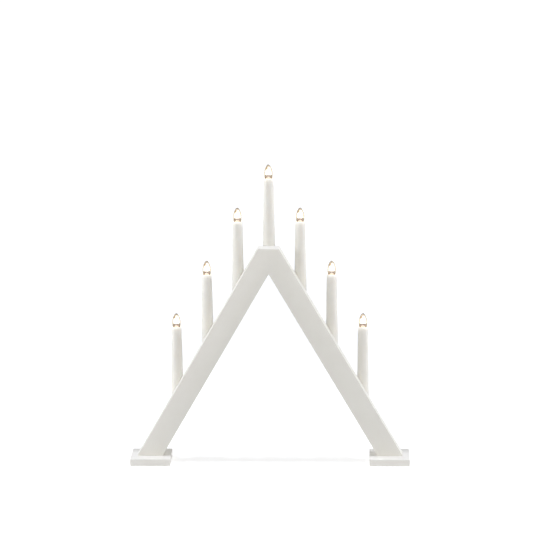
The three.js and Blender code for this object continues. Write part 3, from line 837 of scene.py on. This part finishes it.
def holder_barrel():
    contact_tip = FLANGE_THICKNESS + SLEEVE_LENGTH - CONTACT_BELOW_TOP
    top = contact_tip + CAP_HEIGHT - CUT_PLAY
    floor_top = contact_tip - CUT_PLAY
    floor_low = floor_top - SOCKET_FLOOR
    bore = CAP_RADIUS + CUT_PLAY
    outer = bore + SOCKET_WALL
    flange = SLEEVE_RADIUS
    spigot_top = FLANGE_THICKNESS + SPIGOT_HEIGHT
    spigot = sleeve_bore(SPIGOT_HEIGHT) - CUT_PLAY
    edge = MOULD_ROUND
    return spun([
        (STEM_BORE, 0), (flange - edge, 0), (flange - edge / 4, edge / 4), (flange, edge),
        (flange, FLANGE_THICKNESS), (spigot, FLANGE_THICKNESS), (spigot, spigot_top - edge),
        (spigot - edge, spigot_top), (STEM_RADIUS, spigot_top + edge),
        (STEM_RADIUS, floor_low - SOCKET_FLOOR), (outer, floor_low), (outer, top - edge),
        (outer - edge, top), (bore, top), (bore, floor_top), (SOCKET_FLOOR_HOLE, floor_top),
        (SOCKET_FLOOR_HOLE, floor_low), (STEM_BORE, floor_low - STEM_BORE + SOCKET_FLOOR_HOLE),
    ])


def holder_rib(turn):
    low = FLANGE_THICKNESS + SPIGOT_HEIGHT
    high = FLANGE_THICKNESS + SLEEVE_LENGTH - CONTACT_BELOW_TOP - 3 * SOCKET_FLOOR
    root = STEM_RADIUS - MM
    outer = [(sleeve_bore(height) - CUT_PLAY, height) for height in (low, high)]
    rib = slab([(root, low), *outer, (root, high)], -RIB_THICKNESS / 2, RIB_THICKNESS / 2)
    return turned(to_mesh(rounded(rib, MOULD_ROUND, steps=2)), turn, "Z")


def holder_tab():
    """The screw tab with its window for the wires and its countersunk hole"""
    front = arm_high.y - candles[0]["y"]
    back = front + TAB_THICKNESS
    window_low = -WINDOW_DROP - WINDOW_HEIGHT
    outline = [(TAB_HALF_WIDTH, window_low), (TAB_HALF_WIDTH, FLANGE_THICKNESS - MOULD_ROUND)]
    outline += [(-x, z) for x, z in reversed(outline)]
    end = (TAB_END_RADIUS, TAB_END_RADIUS)
    outline += arc((0, -TAB_SCREW_DROP), end, math.pi, 2 * math.pi, 24)
    shape = rounded(slab(outline, front, back), MOULD_ROUND, flat, 2)
    window = oblong(-WINDOW_HALF_WIDTH, window_low, WINDOW_HALF_WIDTH, -WINDOW_DROP)
    window = slab(window, front - CUT_SPARE, back + CUT_SPARE)
    sink = TAB_SCREW_HEAD - TAB_SCREW_HOLE
    hole = countersink(TAB_SCREW_HOLE, TAB_SCREW_HEAD, sink, TAB_THICKNESS, 48)
    return carved(to_mesh(shape), [to_mesh(window), moved(hole, 0, back, -TAB_SCREW_DROP)])


def holder_gusset(side):
    start = arm_high.y - candles[0]["y"] + TAB_THICKNESS - MM
    outline = [(start, FLANGE_THICKNESS / 2), (start, -GUSSET_DROP), (start + GUSSET_TOE, -GUSSET_DROP),
               (start + GUSSET_REACH, 0), (start + GUSSET_REACH, FLANGE_THICKNESS / 2)]
    plate = to_mesh(rounded(slab(outline, 0, GUSSET_THICKNESS), MOULD_ROUND, steps=2))
    turned(plate, math.radians(90), "Z")
    inner = side * (TAB_HALF_WIDTH - GUSSET_THICKNESS)
    return moved(plate, inner + (GUSSET_THICKNESS if side > 0 else 0), 0, 0)


def holder_mesh():
    ribs = [holder_rib(math.pi / RIB_COUNT + 2 * math.pi * i / RIB_COUNT) for i in range(RIB_COUNT)]
    return joined(holder_barrel(), *ribs, holder_tab(), holder_gusset(-1), holder_gusset(1))


# Bulbs, built once at the contact's tip and copied to each candle
def smooth_profile(points, steps):
    """Points on a Catmull-Rom curve through the given ones"""
    padded = [points[0] * 2 - points[1], *points, points[-1] * 2 - points[-2]]
    result = []
    for i in range(1, len(padded) - 2):
        before, start, end, after = padded[i - 1:i + 3]
        for k in range(steps):
            t = k / steps
            bend = (2 * before - 5 * start + 4 * end - after) * t * t
            turn = (3 * start - before - 3 * end + after) * t ** 3
            result.append(0.5 * (2 * start + (end - before) * t + bend + turn))
    return result + [points[-1]]


def envelope(share=1.0, inset=0.0):
    shoulder = CAP_HEIGHT + CAP_COLLAR_RISE + CUT_PLAY
    points = [Vector((width * BULB_RADIUS * share, shoulder + height * (BULB_LENGTH - shoulder)))
              for width, height in BULB_PROFILE]
    curve = smooth_profile(points, 7)
    return [(max(point.x - inset, 0), point.y) for point in curve]


def glass_mesh():
    """A clear envelope with an even wall, drawn to a pip at its tip"""
    outside = envelope()[:-1]
    hollow = (BULB_LENGTH - GLASS_TIP - CAP_HEIGHT) / (BULB_LENGTH - CAP_HEIGHT)
    inside = [(radius, CAP_HEIGHT + (height - CAP_HEIGHT) * hollow)
              for radius, height in envelope(inset=GLASS_WALL)[:-1] if radius > 0.2 * MM]
    neck_low = CAP_HEIGHT / 2
    neck = [(NECK_RADIUS, neck_low), (NECK_RADIUS, CAP_HEIGHT)]
    tip = [(0, BULB_LENGTH), (0, inside[-1][1] + 0.2 * MM)]
    inner_neck = [(NECK_RADIUS - GLASS_WALL, CAP_HEIGHT), (NECK_RADIUS - GLASS_WALL, neck_low)]
    return spun([*neck, *outside, *tip, *reversed(inside), *inner_neck])


def flare_mesh():
    """The inner glass foot: a thick domed skirt under the filament"""
    low = CAP_HEIGHT + 2 * CAP_COLLAR_RISE
    shoulder = FLARE_RISE - FLARE_RADIUS * 0.22
    dome = arc((0, shoulder), (FLARE_RADIUS, FLARE_RISE - shoulder), 0, math.pi / 2, 8)[:-1]
    outside = [(FLARE_RADIUS * 0.8, low), (FLARE_RADIUS, low + 4 * MM), *dome]
    inside = [(radius - FLARE_WALL, height - FLARE_WALL * 0.6) for radius, height in outside[1:-1]]
    return spun([*outside, (0, FLARE_RISE), (0, FLARE_RISE - FLARE_WALL), *reversed(inside),
                 (FLARE_RADIUS * 0.8 - FLARE_WALL, low)])


def glow_mesh():
    """The bright body of light round the filament"""
    whole = [(radius, height) for radius, height in envelope(GLOW_SHARE) if height > GLOW_LOW]
    squeeze = (BULB_LENGTH - GLOW_BELOW_TIP - GLOW_LOW) / (BULB_LENGTH - GLOW_LOW)
    outline = [(radius, GLOW_LOW + (height - GLOW_LOW) * squeeze) for radius, height in whole[:-1]]
    top = GLOW_LOW + (whole[-1][1] - GLOW_LOW) * squeeze
    return spun([(0, GLOW_LOW), (outline[0][0] * 0.8, GLOW_LOW), *outline, (0, top)], closed=False)


def cap_mesh(thread):
    """A drawn brass shell with its rolled thread, from the insulator up to its collar"""
    barrel = CAP_RADIUS - THREAD_RIDGE / 2
    bore = CONTACT_RADIUS + 1.4 * MM
    collar = CAP_HEIGHT + CAP_COLLAR_RISE
    collar_radius = CAP_RADIUS + CAP_COLLAR
    shell = spun([
        (bore, CAP_FLOOR + 0.8 * MM), (barrel - 0.6 * MM, CAP_FLOOR + 2.0 * MM),
        (barrel, CAP_FLOOR + 2.8 * MM), (barrel, CAP_HEIGHT - MM), (CAP_RADIUS, CAP_HEIGHT),
        (collar_radius, CAP_HEIGHT + CAP_COLLAR), (collar_radius, collar), (NECK_RADIUS + CUT_PLAY, collar),
        (barrel - CAP_WALL, CAP_HEIGHT), (barrel - CAP_WALL, CAP_FLOOR + 3.2 * MM),
        (bore, CAP_FLOOR + 1.6 * MM),
    ])
    return thread.bake(shell, {
        "Turns": THREAD_TURNS, "Radius": barrel, "Rise": THREAD_RISE, "Ridge": THREAD_RIDGE,
        "Start": CAP_FLOOR + 3.2 * MM, "Finish": brass,
    })


def insulator_mesh():
    bore = CONTACT_RADIUS + CUT_PLAY / 2
    outer = CONTACT_RADIUS + 1.7 * MM
    top = CAP_FLOOR + 1.6 * MM
    return spun([(bore, CAP_FLOOR), (outer - 0.4 * MM, CAP_FLOOR + 0.4 * MM), (outer, CAP_FLOOR + 1.1 * MM),
                 (outer, top), (bore, top)])


def contact_mesh():
    """A domed drop of solder"""
    half = CONTACT_HEIGHT / 2
    dome = arc((0, half), (CONTACT_RADIUS, half), -math.pi / 2, 0, 8)[1:]
    top = CONTACT_HEIGHT - CAP_WALL / 4
    return spun([(0, 0), *dome, (CONTACT_RADIUS, top), (0, top)], 64, closed=False)


def lead_mesh(side):
    """One lead wire, leaning in from the flare's shoulder to the pinch and out to the filament"""
    path = bpy.data.curves.new("lead", "CURVE")
    path.dimensions = "3D"
    path.bevel_depth = LEAD_RADIUS
    path.bevel_resolution = 3
    path.use_fill_caps = True
    line = path.splines.new("BEZIER")
    stops = [(side * 3.9, -1.4, 20.6), (side * 2.5, -1.8, 22.9), (side * 0.6, -1.6, 24.6),
             (side * 1.3, -0.4, 26.2), (side * FILAMENT_HALF_SPAN / MM, 0, FILAMENT_HEIGHT / MM)]
    line.bezier_points.add(len(stops) - 1)
    for point, stop in zip(line.bezier_points, stops):
        point.co = Vector(stop) * MM
        point.handle_left_type = point.handle_right_type = "AUTO"
    return smoothed(baked(linked(path)), 60)


def make_bulbs(thread, coil):
    filament = coil.bake(bpy.data.meshes.new("empty"), {
        "Turns": 22.0, "Half span": FILAMENT_HALF_SPAN, "Bow": 0.9 * MM, "Coil radius": 0.22 * MM,
        "Wire radius": 0.05 * MM, "Height": FILAMENT_HEIGHT, "Finish": hot_wire,
    })
    parts = [
        ("glass", glass_mesh(), envelope_glass, "bulb", "clear_glass", "bulb_glass"),
        ("flare", flare_mesh(), flare_glass, "bulb", "clear_glass", None),
        ("glow", glow_mesh(), flame, "bulb", "clear_glass", None),
        ("cap", cap_mesh(thread), brass, "bulb", "cap_brass", "bulb_cap"),
        ("insulator", insulator_mesh(), vitrite, "bulb", "cap_brass", None),
        ("coil", filament, hot_wire, "bulb", "filament", "bulb_filament"),
        ("leads", joined(lead_mesh(-1), lead_mesh(1)), copper, "bulb", "filament", None),
        ("contact", contact_mesh(), tin, "bulb_tip", "solder", "bulb_contact"),
    ]
    for place in candles:
        number = place["number"]
        for word, mesh, material, body, slot, node in parts:
            nodes = [f"{node}_{number}"] if node else []
            copy = moved(mesh, place["x"], place["y"], place["contact"])
            piece(f"lit_bulb_{word}_{number}", copy, material, f"{body}_{number}", slot, *nodes)


# Screws
def recessed_screw(head, shank, length):
    """A countersunk screw with a cross recess, its head flat at z = 0 and its tip below"""
    sink = head - shank
    body = spun([(0, 0), (head - 0.1 * MM, 0), (head, -0.12 * MM), (shank, -sink),
                 (shank, -length + 2 * shank), (0, -length)], 48, closed=False)
    width, reach, depth = head * 0.2, head * 0.62, sink * 0.9
    cutters = []
    for turn in (0, math.pi / 2):
        blade = slab([(-reach, CUT_SPARE), (-reach, 0), (-reach * 0.4, -depth), (reach * 0.4, -depth),
                      (reach, 0), (reach, CUT_SPARE)], -width / 2, width / 2)
        cutters.append(turned(to_mesh(blade), turn, "Z"))
    return carved(body, cutters)


def make_screws(thread):
    setter = set_screws()
    low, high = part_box("foot_screw_right_1")
    foot_y = (low.y + high.y) / 2
    wood_head = (high.x - low.x) / 2
    tab_back = arm_high.y + TAB_THICKNESS
    inlet_x = (inlet_low.x + inlet_high.x) / 2
    boss_x = (inlet_high.x - inlet_low.x) / 2 - INLET_BOSS_INSET
    boss_z = inlet_high.z - INLET_BOSS_INSET
    back_facing = Vector((math.radians(-90), 0, 0))
    down_facing = Vector((math.radians(180), 0, 0))
    foot_nodes = [f"foot_screw_{word}_{number}" for word in ("left", "right") for number in (1, 2)]
    kinds = [
        ("foot_screws", wood_head, wood_head / 2, high.z - low.z, down_facing, foot_nodes,
         [(side * x, foot_y, low.z) for side in (-1, 1) for x in screw_columns()]),
        ("lampholder_screws", TAB_SCREW_HEAD - 0.2 * MM, 1.4 * MM, 12 * MM, back_facing, [],
         [(place["x"], tab_back - 0.15 * MM, place["seat"] - TAB_SCREW_DROP) for place in candles]),
        ("inlet_screws", 2.1 * MM, 0.95 * MM, 20 * MM, back_facing, [],
         [(inlet_x + side * boss_x, inlet_high.y - 0.05 * MM, boss_z) for side in (-1, 1)]),
    ]
    for name, head, shank, length, facing, nodes, places in kinds:
        rise = shank * 1.3
        model = linked(thread.bake(recessed_screw(head, shank, length), {
            "Turns": length * 0.6 / rise, "Radius": shank, "Rise": rise, "Ridge": shank * 0.22,
            "Start": -length + 3 * shank, "Finish": nickel,
        }))
        points = bpy.data.meshes.new("places")
        points.from_pydata(places, [], [])
        mesh = setter.bake(points, {"Screw": model, "Turn": facing, "Finish": nickel})
        bpy.data.objects.remove(model)
        piece(name, mesh, nickel, STAND, "zinc_steel", *nodes)


# Cord inlet
def round_rectangle(half_width, half_height, corner, steps=8):
    outline = []
    for quarter, (sx, sz) in enumerate(((1, 1), (-1, 1), (-1, -1), (1, -1))):
        middle = (sx * (half_width - corner), sz * (half_height - corner))
        outline += arc(middle, (corner, corner), math.pi / 2 * quarter, math.pi / 2 * (quarter + 1), steps)
    return outline


def make_inlet():
    half_width = (inlet_high.x - inlet_low.x) / 2
    half_height = (inlet_high.z - inlet_low.z) / 2
    depth = inlet_high.y - inlet_low.y
    middle = (inlet_low + inlet_high) / 2
    wall = INLET_WALL
    shell = slab(round_rectangle(half_width, half_height, INLET_CORNER), 0, depth)
    rounded(shell, INLET_EDGE, lambda edge: all(vert.co.y > depth - NEAR_ZERO for vert in edge.verts))
    room = round_rectangle(half_width - wall, half_height - wall, INLET_CORNER - wall)
    room = slab(room, -CUT_SPARE, depth - wall)
    mouth = moved(rod(INLET_MOUTH, -half_height - CUT_SPARE, -half_height + wall + MM), 0, depth / 2, 0)
    cover = carved(to_mesh(shell), [to_mesh(room), mouth])
    bosses = []
    holes = []
    z = half_height - INLET_BOSS_INSET
    hole = countersink(INLET_SCREW_HOLE, INLET_SCREW_HEAD, INLET_SCREW_SINK, depth, 32)
    boss = facing_back(rod(INLET_BOSS_RADIUS, 0, depth - wall / 2, 32))
    for side in (-1, 1):
        x = side * (half_width - INLET_BOSS_INSET)
        bosses.append(moved(boss, x, 0, z))
        holes.append(moved(hole, x, depth, z))
    solids = [carved(solid, holes) for solid in (cover, *bosses)]
    mesh = moved(joined(*solids), middle.x, inlet_low.y, middle.z)
    piece("cord_inlet_cover", mesh, moulded, STAND, "holder_plastic", "cord_inlet")
    lip = INLET_MOUTH + 0.9 * MM
    bore, inner = 2.3 * MM, INLET_WALL + 0.9 * MM
    bush = spun([
        (bore, -0.5 * MM), (lip - 0.4 * MM, -0.5 * MM), (lip, -0.1 * MM), (lip, 0), (INLET_MOUTH, 0),
        (INLET_MOUTH, wall), (INLET_MOUTH + 0.5 * MM, wall + 0.3 * MM), (INLET_MOUTH, inner), (bore, inner),
    ], 64)
    piece("inlet_bush", moved(bush, middle.x, middle.y, inlet_low.z), rubber, STAND, "wire_cover")


# Carried-over nodes
def dress_nodes():
    for name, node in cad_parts.items():
        material = wire_cover if name.startswith("wire_") else beech if name == "mitre_biscuit" else None
        if material is not None:
            node.data.materials.clear()
            node.data.materials.append(material)


# Stage
def seen_white(stage):
    """One where the camera looks, straight or by way of gloss or glass"""
    path = stage.node("ShaderNodeLightPath")
    through = stage.math("MAXIMUM", path["Is Glossy Ray"], path["Is Transmission Ray"])
    return stage.math("MAXIMUM", path["Is Camera Ray"], through)


def emptied(data):
    """The node tree of a material or world, with nothing in it"""
    data.use_nodes = True
    data.node_tree.nodes.clear()
    return Nodes(data.node_tree)


def pale_floor():
    """A pale surface, white to the camera and in gloss or glass, that keeps its shadows, though painted
    light near the object makes them faint
    """
    made = bpy.data.materials.new("pale floor")
    stage = emptied(made)
    place = stage.node("ShaderNodeTexCoord")["Object"]
    distance = stage.math("LENGTH", place, (0, 0, 0), VECTOR_MATH)
    lift = 0
    for reach, levels in FLOOR_LIFTS_AND_PAINTED_LIGHT:
        lift = stage.math("ADD", lift, stage.spread(distance, *levels, *reach))
    lift = stage.math("MULTIPLY", seen_white(stage), lift)
    both = stage.make("ShaderNodeAddShader")
    stage.feed(both, "0", stage.node("ShaderNodeBsdfDiffuse", Color=(*FLOOR_COLOUR, 1))[0])
    stage.feed(both, "1", stage.node("ShaderNodeEmission", Strength=lift)[0])
    stage.make("ShaderNodeOutputMaterial", Surface=both.outputs[0])
    return made


def make_floor():
    shape = bmesh.new()
    bmesh.ops.create_circle(shape, cap_ends=True, segments=TURNED_SIDES, radius=FLOOR_RADIUS)
    mesh = plain(shape)
    mesh.materials.append(pale_floor())
    floor = linked(mesh, "floor")


def make_world():
    """White where the camera looks; its soft light is stronger from both sides and from behind"""
    world = bpy.data.worlds.new("studio")
    bpy.context.scene.world = world
    stage = emptied(world)
    outlook = stage.node("ShaderNodeTexCoord")["Generated"]
    soft = WORLD_LIGHT
    for direction, light in WORLD_SIDES:
        facing = stage.math("MAXIMUM", stage.math("DOT_PRODUCT", outlook, direction, VECTOR_MATH), 0)
        near = stage.math("POWER", facing, WORLD_NARROWING)
        soft = stage.math("ADD", stage.math("MULTIPLY", near, light), soft)
    strength = stage.node("ShaderNodeMix", Factor=seen_white(stage), A=soft, B=1.0)[0]
    background = stage.node("ShaderNodeBackground", Color=(1, 1, 1, 1), Strength=strength)[0]
    stage.make("ShaderNodeOutputWorld", Surface=background)


def soft_light(name, place, size, power, colour):
    """A square lamp that faces the middle of the object"""
    lamp = bpy.data.lights.new(name, "AREA")
    lamp.shape = "SQUARE"
    lamp.size = size
    lamp.energy = power
    lamp.color = colour
    made = linked(lamp, name)
    made.location = place
    middle = Vector((0, 0, arm_high.z / 2))
    made.rotation_euler = (middle - Vector(place)).to_track_quat("-Z", "Y").to_euler()


def make_camera():
    """The photograph's camera: turned from looking along +Y by its yaw, pitch and roll"""
    level = math.cos(CAMERA_PITCH)
    ahead = Vector((math.sin(CAMERA_YAW) * level, math.cos(CAMERA_YAW) * level, math.sin(CAMERA_PITCH)))
    right = Vector((math.cos(CAMERA_YAW), -math.sin(CAMERA_YAW), 0))
    above = right.cross(ahead)
    rolled_right = right * math.cos(CAMERA_ROLL) + above * math.sin(CAMERA_ROLL)
    rolled_above = above * math.cos(CAMERA_ROLL) - right * math.sin(CAMERA_ROLL)
    lens = bpy.data.cameras.new("camera")
    lens.sensor_width = SENSOR
    lens.lens = FOCAL_PIXELS / IMAGE_SIZE * SENSOR
    lens.clip_end = 100
    camera = linked(lens, "camera")
    turn = Matrix((rolled_right, rolled_above, -ahead)).transposed().to_4x4()
    camera.matrix_world = Matrix.Translation(CAMERA_PLACE) @ turn
    bpy.context.scene.camera = camera


def make_stage():
    bpy.context.scene.view_settings.view_transform = "Standard"
    make_camera()
    make_floor()
    make_world()
    for softbox in SOFTBOXES:
        soft_light(*softbox)


make_stage()
row = candle_row()
thread = rolled_thread()
make_frame()
make_row(row, "low", sleeve_mesh(), milky, "candle_sleeves", "sleeve_plastic", "candle_sleeve")
make_row(row, "seat", holder_mesh(), moulded, "lampholders", "holder_plastic", "lampholder")
make_bulbs(thread, coiled_wire())
make_screws(thread)
make_inlet()
dress_nodes()
